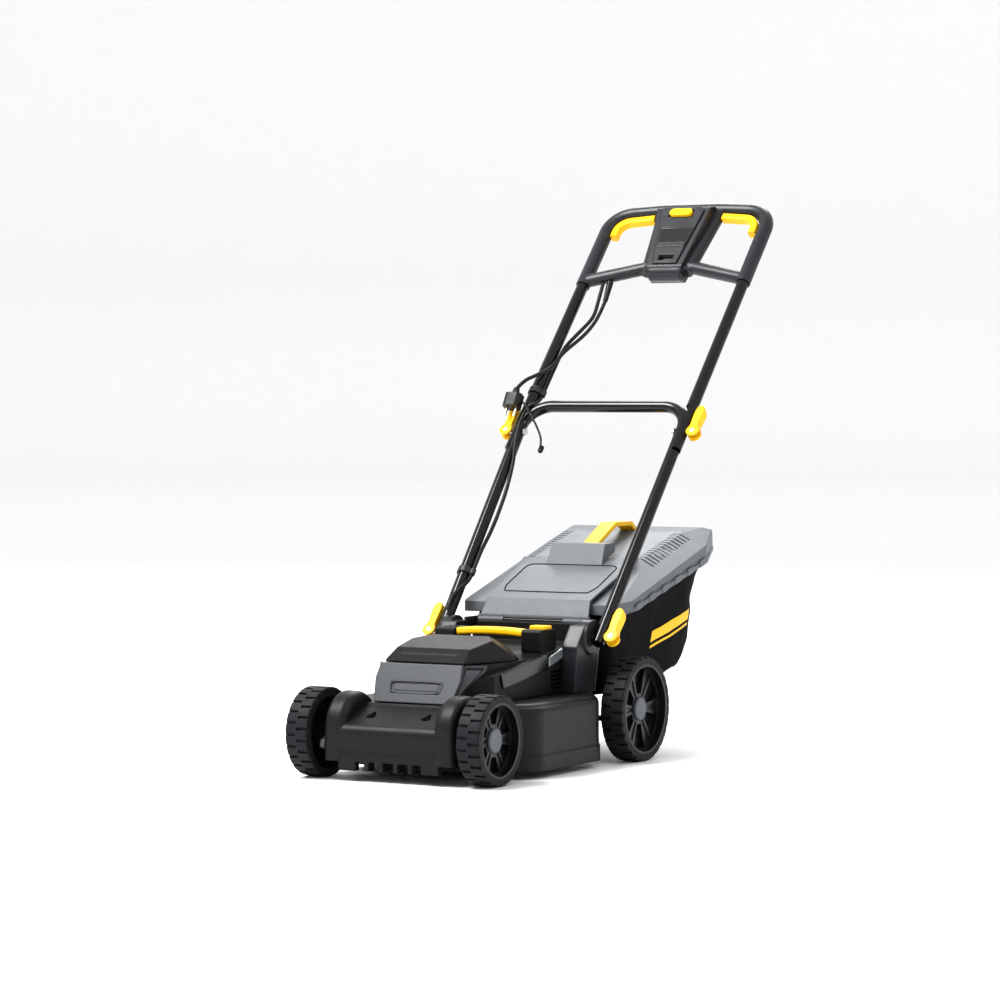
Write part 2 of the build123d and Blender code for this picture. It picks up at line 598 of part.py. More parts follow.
def side_cut(shape, half_at, height, y, lean, pitch):
    """Trim both sides with a plane through (half_at, y, height) that leans in with height."""
    for side in (-1, 1):
        plane = Plane(origin=(side * half_at, y, height), z_dir=(side, -pitch * lean, lean))
        shape = split(shape, bisect_by=plane, keep=Keep.BOTTOM)
    return shape


def lid_form(inset):
    top = [(y, z - inset) for y, z in LID_TOP[:-1]] + [(858 - inset, 386 - inset)]
    foot = 12 if inset else 0
    outline = [(RIM_FRONT[0] + inset, RIM_FRONT[1] - foot), (RIM_FRONT[0] + inset, LID_TOP[0][1] - inset)]
    outline += top[1:] + [(RIM_REAR[0] - inset, RIM_REAR[1] - foot)]
    form = side_slab(outline, 165 - inset)
    plan = mirrored([(146 - inset, 440), (165 - inset, 500), (165 - inset, 790), (140 - inset, 870)])
    form = common(form, plan_slab(plan, 200, 420))
    return side_cut(form, 112 - inset * 0.4, 345 - inset * 0.4, 636, 1.9, 0.30)


def make_grass_box():
    lid = lid_form(0) - lid_form(3)
    rim = side_slab([(RIM_FRONT[0], RIM_FRONT[1] - 5), (RIM_FRONT[0], RIM_FRONT[1] + 3),
                     (RIM_REAR[0] + 2, RIM_REAR[1] + 3), (RIM_REAR[0] + 2, RIM_REAR[1] - 5)], 168)
    ring = mirrored([(146, 462), (168, 505), (168, 790), (142, 866)])
    hole = mirrored([(141, 440), (162, 505), (162, 788), (137, 858)])
    lid += common(rim, plan_slab(ring, 200, 420)) - plan_slab(hole, 200, 420)
    for i in range(13):
        y = 634 + 11.8 * i
        slot = block(104, 138, y - 2, y + 2, 300, 420)
        lid -= [slot, mirror(slot, about=Plane.YZ)]
    export(lid, "box_lid")

    bag_side = [(458, 112), (600, 124), (668, 128), (790, 158), (812, 182), (808, 250), (800, 300), (826, 340)]
    rim_line = [(826, RIM_REAR[1] - 14.6), (458, RIM_FRONT[1] - 6.6)]
    bag = side_slab(bag_side + rim_line, 158)
    inner_side = [(450, 116), (600, 127.5), (667, 131.5), (788, 161.5), (808, 184), (804, 250), (796, 300), (822, 360)]
    inner = side_slab(inner_side + [(450, 262)], 155)
    bag = side_cut(bag, 148, 300, 600, -0.16, 0)
    inner = side_cut(inner, 145, 300, 600, -0.16, 0)
    front = block(-200, 200, 440, 461, 0, 400) - block(-MOUTH_HALF, MOUTH_HALF, 400, 470, 116, MOUTH_Z[1])
    bag = bag - (inner - front)
    bag -= block(-MOUTH_HALF, MOUTH_HALF, 440, 470, 116, MOUTH_Z[1])
    export(bag - lid, "grass_bag")

    handle_side = [(640, 344), (644, 362), (650, 369), (722, 405), (786, 405), (812, 386),
                   (806, 382), (782, 397), (724, 397), (656, 364), (654, 344)]
    grip = side_slab(handle_side, 15)
    lid_top_line = [(600, 200), (600, 326.3), (634, 344.1), (788, 387.1), (838, 394.1), (838, 200)]
    foot = block(-15, 15, 796, 812, 380, 390)
    grip = (grip + foot) - side_slab(lid_top_line, 60)
    export(grip, "box_handle")


def make_flap():
    outer = [(440, 246), (457, 278), (590, 333), (614, 344), (614, 339.5), (590, 328.6),
             (460, 280.2 - 4.4), (445, 248)]
    skin = side_slab(outer, 118)
    plan = mirrored([(112, 430), (104, 456), (110, 560), (118, 625)])
    skin = common(skin, plan_slab(plan, 200, 420))
    for side in (-1, 1):
        skin += x_rod(5, side * 60, side * 111.5, *FLAP_HINGE)
        skin += block(side * 85.75 - 25.75, side * 85.75 + 25.75, 438, 444, 242, 250)
    skin += block(-61, 61, 439, 444, 244.2, 250)
    skin -= x_rod(FLAP_PIN_R + RUN_GAP, -150, 150, *FLAP_HINGE)
    cover = side_slab([(588, 331), (606, 370), (645, 371), (645, 355), (614, 344), (600, 337.4)], 70)
    cover = common(cover, plan_slab(mirrored([(58, 580), (54, 606), (52, 660)]), 300, 400))
    tunnel = side_slab([(594, 300), (611, 366), (660, 367), (660, 300)], 45)
    tunnel -= side_slab([(560, 300), (560, 317), (590, 329), (614, 340), (614, 300)], 60)
    skin += cover
    skin -= tunnel
    export(skin, "rear_flap")
    export(x_rod(FLAP_PIN_R, -118, 118, *FLAP_HINGE), "flap_hinge_pin")


# ---- cables -------------------------------------------------------------------------------
def arc_radii(points):
    radii = []
    for a, b, c in zip(points, points[1:], points[2:]):
        u, v = Vector(*b) - Vector(*a), Vector(*c) - Vector(*b)
        turn = radians(u.get_angle(v))
        radii.append(0.45 * min(u.length, v.length) / tan(turn / 2))
    return radii


def cord(name, points, radius):
    radii = arc_radii(points)
    path = FilletPolyline(*points, radius=radii)
    solid = tube(path, radius)
    share = round(solid.volume / (pi * radius**2 * path.length), 4)
    print(name, "length", round(path.length), "radii", [round(r) for r in radii], "volume share", share)
    export(solid, name)


def on_handle(pivot, direction, x, s, n):
    """Place on the right-hand side tube: x, s along the tube from its bolt, n in front of it."""
    return (x, pivot[1] + s * direction[0] - n * direction[1], pivot[2] + s * direction[1] + n * direction[0])


def on_upper(x, s, n):
    return on_handle(UPPER_PIVOT, UPPER_DIR, x, s, n)


def on_lower(x, s, n):
    return on_handle(LOWER_PIVOT, LOWER_DIR, x, s, n)


def make_cables():
    cord("power_cord", [on_upper(*p) for p in POWER_CORD], CABLE_R)
    cord("motor_cable_upper", [on_upper(*p) for p in MOTOR_CABLE_UPPER], CABLE_R)
    middle = [on_upper(*p) for p in MOTOR_CABLE_FOLD] + [on_lower(*p) for p in MOTOR_CABLE_LEG]
    cord("motor_cable_middle", middle, CABLE_R)
    lower = [on_lower(*p) for p in MOTOR_CABLE_FOOT] + [CABLE_EXIT]
    cord("motor_cable_lower", lower, CABLE_R)

    sleeve_end = Vector(*on_upper(*POWER_CORD[0]))
    sleeve_top = Vector(*on_upper(*SLEEVE_TOP))
    axis = Plane(origin=sleeve_end, z_dir=sleeve_top - sleeve_end)
    export(Solid.make_cone(4.6, 6.5, (sleeve_top - sleeve_end).length, axis), "strain_relief")

    plug_top = Vector(*on_upper(*POWER_CORD[-1]))
    neck_length, shell_length = 14, 26
    neck = Solid.make_cone(5.5, 8, neck_length, Plane(origin=plug_top, z_dir=PLUG_DIR))
    shell_plane = Plane(origin=plug_top + PLUG_DIR * neck_length, x_dir=(1, 0, 0), z_dir=PLUG_DIR)
    shell = shell_plane * extrude(RectangleRounded(34, 26, 10), shell_length)
    export(Part() + neck + shell, "plug_body")
    face = plug_top + PLUG_DIR * (neck_length + shell_length)
    pins = []
    for dx in (-PIN_SPACING / 2, PIN_SPACING / 2):
        root = Plane(origin=face + Vector(dx, 0, 0), z_dir=PLUG_DIR)
        pins.append(Solid.make_cylinder(PIN_R, PIN_LENGTH, root))
    export(Compound(pins), "plug_pins")

    cable_clip("cable_clip_upper", (TUBE_ENTRY[0], *UPPER_PIVOT[1:]), UPPER_DIR, 98, [(154, -4)])
    clip_s = 133
    tube_x = LOWER_PIVOT[0] + (UPPER_PIVOT[0] - LOWER_PIVOT[0]) * clip_s / 457
    cable_clip("cable_clip_lower", (tube_x, *LOWER_PIVOT[1:]), LOWER_DIR, clip_s, [(145, 0)])


def cable_clip(name, pivot, direction, s, cables):
    """Collar round the right-hand tube at s, with an eye for each cable at (distance from centre, n)."""
    frame = place_on_tube(pivot, direction, -1)
    width = 12
    barrel = Pos(0, s, 0) * Rot(90, 0, 0)
    clip = barrel * Cylinder(TUBE_R + 2.6, width)
    eyes = [Pos(distance - pivot[0], 0, -n) * barrel for distance, n in cables]
    for eye in eyes:
        clip += eye * Cylinder(CABLE_R + 2, width)
    for eye in eyes:
        clip -= eye * Cylinder(CABLE_R + 0.4, width + 2)
    clip -= barrel * Cylinder(TUBE_R + 0.2, width + 2)
    export(frame * clip, name)


if __name__ == "__main__":
    make_wheels()
    make_axle("front", FRONT_WHEEL_R, 0, FRONT_OUTER_X, 129)
    make_axle("rear", REAR_WHEEL_R, WHEELBASE, REAR_OUTER_X, 147)
    make_deck()
    make_housing()
    make_front_panel()
    make_side_trims()
    make_carry_handle()
    make_motor()
    make_lower_handle()
    make_levers()
    make_brackets()
    make_upper_tubes()
    make_loop()
    make_grass_box()
    make_flap()
    make_cables()
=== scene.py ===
import math

import bmesh
import bpy
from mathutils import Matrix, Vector, noise
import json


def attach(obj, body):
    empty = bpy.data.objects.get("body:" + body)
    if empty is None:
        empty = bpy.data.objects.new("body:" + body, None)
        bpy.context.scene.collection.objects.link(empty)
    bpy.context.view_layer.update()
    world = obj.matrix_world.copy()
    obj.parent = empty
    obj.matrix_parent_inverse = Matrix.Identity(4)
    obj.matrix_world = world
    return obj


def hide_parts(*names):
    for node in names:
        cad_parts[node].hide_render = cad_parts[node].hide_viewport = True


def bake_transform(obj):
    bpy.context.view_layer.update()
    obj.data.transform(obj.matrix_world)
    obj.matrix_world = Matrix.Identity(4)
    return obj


# Corded electric push mower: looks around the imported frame.  Metres, +Z up, front towards -Y.
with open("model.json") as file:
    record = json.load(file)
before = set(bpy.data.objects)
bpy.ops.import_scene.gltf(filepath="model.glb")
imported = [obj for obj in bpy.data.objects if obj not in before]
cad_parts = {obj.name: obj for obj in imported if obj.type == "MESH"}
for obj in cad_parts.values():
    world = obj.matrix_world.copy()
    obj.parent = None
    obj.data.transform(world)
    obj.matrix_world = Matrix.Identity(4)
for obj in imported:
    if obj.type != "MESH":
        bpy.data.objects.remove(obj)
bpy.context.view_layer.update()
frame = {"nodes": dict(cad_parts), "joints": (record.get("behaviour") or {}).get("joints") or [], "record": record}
NODES = frame["nodes"]
JOINTS = {joint["name"]: joint for joint in frame["joints"]}

# ---- places taken from the frame ----------------------------------------------------------
UPPER_PIVOT = Vector(JOINTS["upper_handle_fold"]["pos_m"])


def tube_direction(lever):
    """Direction up the handle tube, read from the axis of a left-hand cam lever."""
    axis = JOINTS[lever]["axis"]
    return Vector((0, -axis[2], axis[1])).normalized()


UPPER_UP = tube_direction("upper_left_lever_open")
MM = 0.001


def on_tube(pivot, up, x, s, n):
    """Millimetres: x across, s up along the tube from its bolt, n in front of the tube's axis."""
    front = Vector((0, -up.z, up.y))
    return Vector((x * MM, pivot.y, pivot.z)) + up * (s * MM) + front * (n * MM)


def on_upper(x, s, n):
    return on_tube(UPPER_PIVOT, UPPER_UP, x, s, n)


AXLE_Y = JOINTS["front_left_wheel_spin"]["pos_m"][1]


def at(x, y, z):
    """Millimetres from the front axle line on the ground."""
    return Vector((x * MM, AXLE_Y + y * MM, z * MM))


# ---- camera -------------------------------------------------------------------------------
AZIMUTH = 29.7
ELEVATION = 1.7
SENSOR_WIDTH = 36
LENS = 124.56
CAMERA_PLACE = (2.959, AXLE_Y - 4.867, 0.633)


def make_camera():
    azimuth, elevation = math.radians(AZIMUTH), math.radians(ELEVATION)
    data = bpy.data.cameras.new("camera")
    data.sensor_width = SENSOR_WIDTH
    data.lens = LENS
    camera = bpy.data.objects.new("camera", data)
    bpy.context.scene.collection.objects.link(camera)
    camera.location = CAMERA_PLACE
    flat = math.cos(elevation)
    look = Vector((-math.sin(azimuth) * flat, math.cos(azimuth) * flat, -math.sin(elevation)))
    camera.rotation_euler = look.to_track_quat("-Z", "Y").to_euler()
    bpy.context.scene.camera = camera


make_camera()


# ---- materials ----------------------------------------------------------------------------
def surface(name, colour, rough, metal=0.0, coat=0.0, sheen=0.0, mottle=0.10, grain=1400,
            grain_height=0.00004, rounding=0.0012, rough_spread=0.08, specular=0.3):
    """Moulded or painted surface: mottled colour, uneven gloss, fine grain and eased edges."""
    material = bpy.data.materials.new(name)
    material.use_nodes = True
    nodes, links = material.node_tree.nodes, material.node_tree.links
    shader = nodes["Principled BSDF"]
    shader.inputs["Metallic"].default_value = metal
    shader.inputs["Coat Weight"].default_value = coat
    shader.inputs["Coat Roughness"].default_value = 0.12
    shader.inputs["Sheen Weight"].default_value = sheen
    shader.inputs["Specular IOR Level"].default_value = specular

    place = nodes.new("ShaderNodeTexCoord")
    clouds = nodes.new("ShaderNodeTexNoise")
    clouds.inputs["Scale"].default_value = 16
    clouds.inputs["Detail"].default_value = 5
    links.new(place.outputs["Object"], clouds.inputs["Vector"])
    tint = nodes.new("ShaderNodeMix")
    tint.data_type = "RGBA"
    tint.inputs["A"].default_value = (*[c * (1 - mottle) for c in colour], 1)
    tint.inputs["B"].default_value = (*[min(1, c * (1 + mottle)) for c in colour], 1)
    links.new(clouds.outputs["Fac"], tint.inputs["Factor"])
    links.new(tint.outputs["Result"], shader.inputs["Base Color"])

    smears = nodes.new("ShaderNodeTexNoise")
    smears.inputs["Scale"].default_value = 55
    links.new(place.outputs["Object"], smears.inputs["Vector"])
    gloss = nodes.new("ShaderNodeMapRange")
    gloss.inputs["To Min"].default_value = max(0.03, rough - rough_spread)
    gloss.inputs["To Max"].default_value = min(1, rough + rough_spread)
    links.new(smears.outputs["Fac"], gloss.inputs["Value"])
    links.new(gloss.outputs["Result"], shader.inputs["Roughness"])

    fine = nodes.new("ShaderNodeTexNoise")
    fine.inputs["Scale"].default_value = grain
    links.new(place.outputs["Object"], fine.inputs["Vector"])
    bump = nodes.new("ShaderNodeBump")
    bump.inputs["Strength"].default_value = 0.6
    bump.inputs["Distance"].default_value = grain_height
    links.new(fine.outputs["Fac"], bump.inputs["Height"])
    if rounding:
        eased = nodes.new("ShaderNodeBevel")
        eased.samples = 4
        eased.inputs["Radius"].default_value = rounding
        links.new(eased.outputs["Normal"], bump.inputs["Normal"])
    links.new(bump.outputs["Normal"], shader.inputs["Normal"])
    return material


def weave(name, colour, thread=0.0011):
    """Coarse plain-woven polyester."""
    material = surface(name, colour, 0.85, sheen=0.03, mottle=0.3, grain=900,
                       grain_height=0.00012, rounding=0, rough_spread=0.05, specular=0.1)
    nodes, links = material.node_tree.nodes, material.node_tree.links
    shader, bump = nodes["Principled BSDF"], nodes["Bump"]
    place = nodes["Texture Coordinate"]
    threads = []
    for direction in ("Y", "Z"):
        wave = nodes.new("ShaderNodeTexWave")
        wave.bands_direction = direction
        wave.inputs["Scale"].default_value = 0.3 / thread
        wave.inputs["Distortion"].default_value = 0.4
        links.new(place.outputs["Object"], wave.inputs["Vector"])
        threads.append(wave.outputs["Fac"])
    cloth = nodes.new("ShaderNodeMath")
    cloth.operation = "MULTIPLY"
    links.new(threads[0], cloth.inputs[0])
    links.new(threads[1], cloth.inputs[1])
    woven = nodes.new("ShaderNodeBump")
    woven.inputs["Strength"].default_value = 0.5
    woven.inputs["Distance"].default_value = thread * 0.25
    links.new(cloth.outputs[0], woven.inputs["Height"])
    links.new(bump.outputs["Normal"], woven.inputs["Normal"])
    links.new(woven.outputs["Normal"], shader.inputs["Normal"])
    return material


M = {
    "tyre": surface("tyre_rubber", (0.014, 0.015, 0.017), 0.55, mottle=0.25, grain=900,
                    grain_height=0.00008, specular=0.18),
    "rim": surface("rim_plastic", (0.007, 0.0075, 0.009), 0.30, specular=0.35),
    "hub_cap": surface("hub_grey", (0.105, 0.115, 0.127), 0.42),
    "steel": surface("zinc_steel", (0.55, 0.56, 0.57), 0.3, metal=1, grain=700),
    "axle": surface("axle_steel", (0.32, 0.33, 0.34), 0.38, metal=1, grain=700),
    "deck": surface("deck_plastic", (0.013, 0.0125, 0.012), 0.38, grain=1100, grain_height=0.00004,
                    rounding=0.005, specular=0.18),
    "housing": surface("housing_plastic", (0.011, 0.0104, 0.010), 0.36, grain=1100, grain_height=0.00004,
                       rounding=0.004, specular=0.15),
    "panel": surface("panel_plastic", (0.060, 0.064, 0.069), 0.34, rounding=0.003),
    "trim": surface("gloss_trim", (0.006, 0.007, 0.008), 0.10, rough_spread=0.03, rounding=0.0035,
                    specular=0.45),
    "lid": surface("lid_plastic", (0.135, 0.147, 0.159), 0.38, grain=1200, grain_height=0.00004,
                   rounding=0.003, specular=0.2),
    "yellow": surface("yellow_plastic", (0.92, 0.53, 0.006), 0.33, mottle=0.05, rounding=0.003),
    "tube": surface("black_enamel", (0.0035, 0.0035, 0.004), 0.12, rounding=0, rough_spread=0.04,
                    grain_height=0.000004, specular=0.45),
    "grip": surface("handle_plastic", (0.017, 0.018, 0.021), 0.30, grain=1500, grain_height=0.00003,
                    rounding=0.005, specular=0.4),
    "cable": surface("cable_sheath", (0.007, 0.007, 0.0075), 0.42, rounding=0),
    "bag": weave("bag_cloth", (0.0055, 0.0055, 0.006)),
    "iron": surface("motor_core", (0.2, 0.2, 0.21), 0.5, metal=0.8),
    "blade": surface("blade_steel", (0.42, 0.43, 0.45), 0.32, metal=1, grain=500),
    "brass": surface("pin_metal", (0.72, 0.66, 0.5), 0.25, metal=1),
}
EXTRA = {
    "glass": surface("switch_window", (0.004, 0.0045, 0.005), 0.05, coat=0.8, rough_spread=0.02),
    # Light grey trim: the glossy strip is real, its light grey colour is a painted highlight.
    "highlight_trim": surface("trim_painted_highlight", (0.30, 0.33, 0.34), 0.14, metal=0.6, coat=0.5, rough_spread=0.05),
    # Near-black shadow_gap: painted shade standing in for the dark inside grooves and recesses.
    "groove": surface("shadow_gap", (0.0015, 0.0015, 0.0015), 0.8, rounding=0, specular=0.05),
    "thread": surface("seam_thread", (0.03, 0.03, 0.032), 0.8, rounding=0),
    "yellow_print": surface("printed_band", (0.85, 0.50, 0.008), 0.5, rounding=0),
}


# Nodes that look darker than their own slot's material.
DARKER = {"flap_hinge_pin": "tube", "handle_brackets": "grip"}


def dress_nodes():
    for entry in frame["record"]["subparts"]:
        node = NODES[entry["node"]]
        for place in node.material_slots:
            place.material = M[DARKER.get(entry["node"], entry["material_slot"])]


dress_nodes()


# ---- small makers -------------------------------------------------------------------------
def add(name, mesh, material, body, smooth=True):
    piece = bpy.data.objects.new(name, mesh)
    bpy.context.scene.collection.objects.link(piece)
    mesh.materials.append(material)
    if smooth:
        mesh.polygons.foreach_set("use_smooth", [True] * len(mesh.polygons))
    if body:
        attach(piece, body)
    return piece


def round_curve(name, points, radius, material, body, cyclic=False):
    """A round line through NURBS control points."""
    data = bpy.data.curves.new(name, "CURVE")
    data.dimensions = "3D"
    data.bevel_depth = radius
    data.bevel_resolution = 4
    data.use_fill_caps = True
    data.resolution_u = 16
    spline = data.splines.new("NURBS")
    spline.points.add(len(points) - 1)
    for place, point in zip(spline.points, points):
        place.co = (*point, 1)
    spline.order_u = 3
    spline.use_cyclic_u = cyclic
    spline.use_endpoint_u = not cyclic
    data.materials.append(material)
    piece = bpy.data.objects.new(name, data)
    bpy.context.scene.collection.objects.link(piece)
    if body:
        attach(piece, body)
    return piece


def rounded_slab(name, origin, across, up, width, height, thick, corner, material, body,
                 top_width=None):
    """Slab with rounded corners and a softened front edge, centred on origin."""
    across, up = across.normalized(), up.normalized()
    out = across.cross(up).normalized()
    top_width = width if top_width is None else top_width
    outline = []
    corners = [(width / 2, -height / 2, -90), (top_width / 2, height / 2, 0),
               (-top_width / 2, height / 2, 90), (-width / 2, -height / 2, 180)]
    for x, y, start in corners:
        cx = x - math.copysign(corner, x)
        cy = y - math.copysign(corner, y)
        for i in range(6):
            turn = math.radians(start + 18 * i)
            outline.append((cx + corner * math.cos(turn), cy + corner * math.sin(turn)))
    mesh = bmesh.new()
    rings = []
    soft = min(thick * 0.45, corner * 0.6)
    for inset, level in ((0, -thick), (0, -soft), (soft * 0.35, -soft * 0.3), (soft, 0)):
        ring = []
        for x, y in outline:
            sx = x * (1 - 2 * inset / width)
            sy = y * (1 - 2 * inset / height)
            ring.append(mesh.verts.new(origin + across * sx + up * sy + out * level))
        rings.append(ring)
    count = len(outline)
    for low, high in zip(rings, rings[1:]):
        for i in range(count):
            mesh.faces.new((low[i], low[(i + 1) % count], high[(i + 1) % count], high[i]))
    mesh.faces.new(rings[-1])
    mesh.faces.new(list(reversed(rings[0])))
    data = bpy.data.meshes.new(name)
    mesh.to_mesh(data)
    mesh.free()
    return add(name, data, material, body, smooth=False)


# ---- cables -------------------------------------------------------------------------------
POWER_CORD = [
    (-115, 344, -12.4), (-116.5, 308, -16), (-125, 268, -15.5), (-138, 233, -10), (-147, 200, 0),
    (-152, 160, 6), (-157, 136, 16), (-168, 117, 25), (-181, 98, 32), (-187, 78, 33),
]


def make_power_cord():
    points = [on_upper(*point) for point in POWER_CORD]
    lead = round_curve("mains_lead", points, 3.5 * MM, M["cable"], "upper_handle")
    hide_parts("power_cord")


def bending_copy(node, name):
    """A cable across a fold: a copy of the CAD tube's own shape, attached to no body."""
    mesh = NODES[node].data.copy()
    mesh.materials.clear()
    piece = add(name, mesh, M["cable"], None)
    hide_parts(node)
    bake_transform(piece)


def make_motor_cable():
    bending_copy("motor_cable_middle", "motor_lead_middle")
    bending_copy("motor_cable_lower", "motor_lead_lower")


def make_strap():
    """Rubber strap that ties the plug to the tube, with its free end hanging."""
    points = [(-178, 60, 24), (-158, 44, 26), (-150, 30, 24), (-132, 12, 24), (-112, -14, 20),
              (-100, -34, 16), (-99, -49, 12)]
    strap = [on_upper(*point) for point in points]
    round_curve("rubber_strap", strap, 2.0 * MM, M["cable"], "upper_handle")
    knob = on_upper(-99, -49, 12)
    rounded_slab("strap_end", knob, Vector((1, 0, 0)), UPPER_UP, 9 * MM, 16 * MM, 6 * MM, 4 * MM,
                 M["cable"], "upper_handle")


make_power_cord()
make_motor_cable()
make_strap()


# ---- grass bag ----------------------------------------------------------------------------
RIM_SLOPE = 97 / 368
BAG_FRONT = 458
REAR_EDGE = [(0, 826), (0.16, 806), (0.33, 799), (0.55, 808), (0.82, 812), (0.93, 804), (1, 784)]
BOTTOM_EDGE = [(458, 112), (600, 123), (668, 127), (740, 143), (830, 168)]
BAG_MIDDLE_Y = 640
AROUND = 144
ROWS = 26
BOTTOM_SHARES = (0.93, 0.8, 0.6, 0.4, 0.2)
MOUTH_HALF = 0.104
MOUTH_Z = (0.116, 0.230)


def interpolate(table, value):
    for (a, low), (b, high) in zip(table, table[1:]):
        if value <= b:
            share = max(0, (value - a) / (b - a))
            share = share * share * (3 - 2 * share)
            return low + (high - low) * share
    return table[-1][1]


SQUARENESS = 9


def outline(i):
    """Point i of AROUND on a rounded square of half width 1, evenly spread."""
    side, along = divmod(4 * i / AROUND, 1)
    along = 2 * along - 1
    x, y = ((1, along), (-along, 1), (-1, -along), (along, -1))[int(side)]
    size = (abs(x) ** SQUARENESS + abs(y) ** SQUARENESS) ** (1 / SQUARENESS)
    return x / size, y / size


def slack(v):
    """How free the cloth is to move: none at the rim or the bottom edge."""
    return math.sin(math.pi * v) ** 0.8


def folds(y, z, cx):
    fold = noise.noise(Vector((y * 0.013 + cx * 3, z * 0.009, cx * 1.7)))
    crease = noise.noise(Vector((y * 0.035 + z * 0.018, z * 0.012 - y * 0.01, 4 + cx)))
    return fold, crease


def cloth_half(y, z, v, cx, back):
    """The bag's half width in millimetres, with its sag and folds."""
    fold, crease = folds(y, z, cx)
    return 147.5 + 0.16 * (z - 300) + slack(v) * (4.5 * fold + 3.0 * crease - 3.5 * (1 - back))


def bag_ring(v):
    """One closed ring of the bag, v from the rim (0) to the bottom edge (1)."""
    rear = interpolate(REAR_EDGE, v)
    ring = []
    for i in range(AROUND):
        cx, cy = outline(i)
        y = (BAG_FRONT + rear) / 2 + cy * (rear - BAG_FRONT) / 2
        top = 244 + (y - BAG_FRONT) * RIM_SLOPE
        z = top + (interpolate(BOTTOM_EDGE, y) - top) * v
        x = cx * cloth_half(y, z, v, cx, max(0, cy))
        fold, crease = folds(y, z, cx)
        y += max(0, cy) * slack(v) * (3 * fold + 2 * crease)
        ring.append(at(x, y, z))
    return ring


def make_bag():
    mesh = bmesh.new()
    rows = [bag_ring(i / ROWS) for i in range(ROWS + 1)]
    for share in BOTTOM_SHARES:
        ring = []
        for point in rows[ROWS]:
            x = point.x / MM * share
            y = BAG_MIDDLE_Y + ((point.y - AXLE_Y) / MM - BAG_MIDDLE_Y) * share
            dent = 2.5 * noise.noise(Vector((x * 0.02, y * 0.02, 9)))
            ring.append(at(x, y, interpolate(BOTTOM_EDGE, y) - 2 * (1 - share) + dent))
        rows.append(ring)
    verts = [[mesh.verts.new(point) for point in row] for row in rows]
    for low, high in zip(verts, verts[1:]):
        for i in range(AROUND):
            j = (i + 1) % AROUND
            corners = [low[i], low[j], high[j], high[i]]
            middle = sum((c.co for c in corners), Vector()) / 4
            in_front = middle.y < AXLE_Y + (BAG_FRONT + 3) * MM
            in_mouth = abs(middle.x) < MOUTH_HALF and MOUTH_Z[0] < middle.z < MOUTH_Z[1]
            if not (in_front and in_mouth):
                mesh.faces.new(corners)
    mesh.faces.new(verts[-1])
    bmesh.ops.recalc_face_normals(mesh, faces=mesh.faces)
    data = bpy.data.meshes.new("bag_shell")
    mesh.to_mesh(data)
    mesh.free()
    shell = add("bag_shell", data, M["bag"], "grass_box")
    wall = shell.modifiers.new("wall", "SOLIDIFY")
    wall.thickness = 0.0012
    wall.offset = -1
    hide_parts("grass_bag")
    edge = bag_ring(0.985)
    round_curve("bag_bottom_piping", edge[::3], 2.0 * MM, EXTRA["thread"], "grass_box", cyclic=True)


BAND_ROWS = 8
BAND_COLUMNS = 40
PRINT_LIFT = 1.1


def bag_side_patch(name, y0, y1, drop0, drop1):
    """Plain printed band on both sides of the bag, drop0 to drop1 below its rim."""
    for side in (-1, 1):
        mesh = bmesh.new()
        rows = []
        for j in range(BAND_ROWS + 1):
            drop = drop0 + (drop1 - drop0) * j / BAND_ROWS
            row = []
            for i in range(BAND_COLUMNS + 1):
                y = y0 + (y1 - y0) * i / BAND_COLUMNS
                top = 244 + (y - BAG_FRONT) * RIM_SLOPE
                z = top - drop
                v = (z - top) / (interpolate(BOTTOM_EDGE, y) - top)
                rear = interpolate(REAR_EDGE, v)
                reach = abs(2 * (y - BAG_FRONT) / (rear - BAG_FRONT) - 1)
                taper = (1 - min(0.999, reach) ** SQUARENESS) ** (1 / SQUARENESS)
                back = max(0, 2 * (y - BAG_FRONT) / (rear - BAG_FRONT) - 1)
                half = cloth_half(y, z, v, side * taper, back)
                row.append(mesh.verts.new(at(side * (half * taper + PRINT_LIFT), y, z)))
            rows.append(row)
        for low, high in zip(rows, rows[1:]):
            for i in range(BAND_COLUMNS):
                mesh.faces.new((low[i], low[i + 1], high[i + 1], high[i]))
        bmesh.ops.recalc_face_normals(mesh, faces=mesh.faces)
        data = bpy.data.meshes.new(name)
        mesh.to_mesh(data)
        mesh.free()
        label = "left" if side > 0 else "right"
        add(f"{name}_{label}", data, EXTRA["yellow_print"], "grass_box")


make_bag()
bag_side_patch("bag_band_wide", 640, 775, 78, 98)
bag_side_patch("bag_band_thin", 640, 775, 104, 109)


# ---- handle panel -------------------------------------------------------------------------
ACROSS = Vector((1, 0, 0))


def make_switch_details():
    # The panel's face rises from n = 22 at s = 404 to n = 34 at s = 545 in front of the tube's axis.
    rise = (34 - 22) / (545 - 404)
    face_up = (on_upper(0, 545, 34) - on_upper(0, 404, 22)).normalized()

    def on_face(x, s, lift):
        return on_upper(x, s, 22 + rise * (s - 404) + lift)

    rounded_slab("switch_bezel", on_face(0, 471, 1.2), ACROSS, face_up, 62 * MM, 50 * MM, 2 * MM, 5 * MM,
                 M["grip"], "upper_handle", top_width=70 * MM)
    rounded_slab("switch_window", on_face(0, 473, 1.9), ACROSS, face_up, 56 * MM, 36 * MM, 2 * MM, 3 * MM,
                 EXTRA["glass"], "upper_handle", top_width=64 * MM)
    rounded_slab("cord_hook", on_face(0, 425, -8), ACROSS, face_up, 22 * MM, 6 * MM, 5 * MM, 2 * MM,
                 M["grip"], "upper_handle")
    for x in (-90, 90):
        screw(f"loop_screw_{'l' if x > 0 else 'r'}", on_upper(x, 565, -13.3), -front_normal(), "upper_handle")


def front_normal():
    return Vector((0, -UPPER_UP.z, UPPER_UP.y))


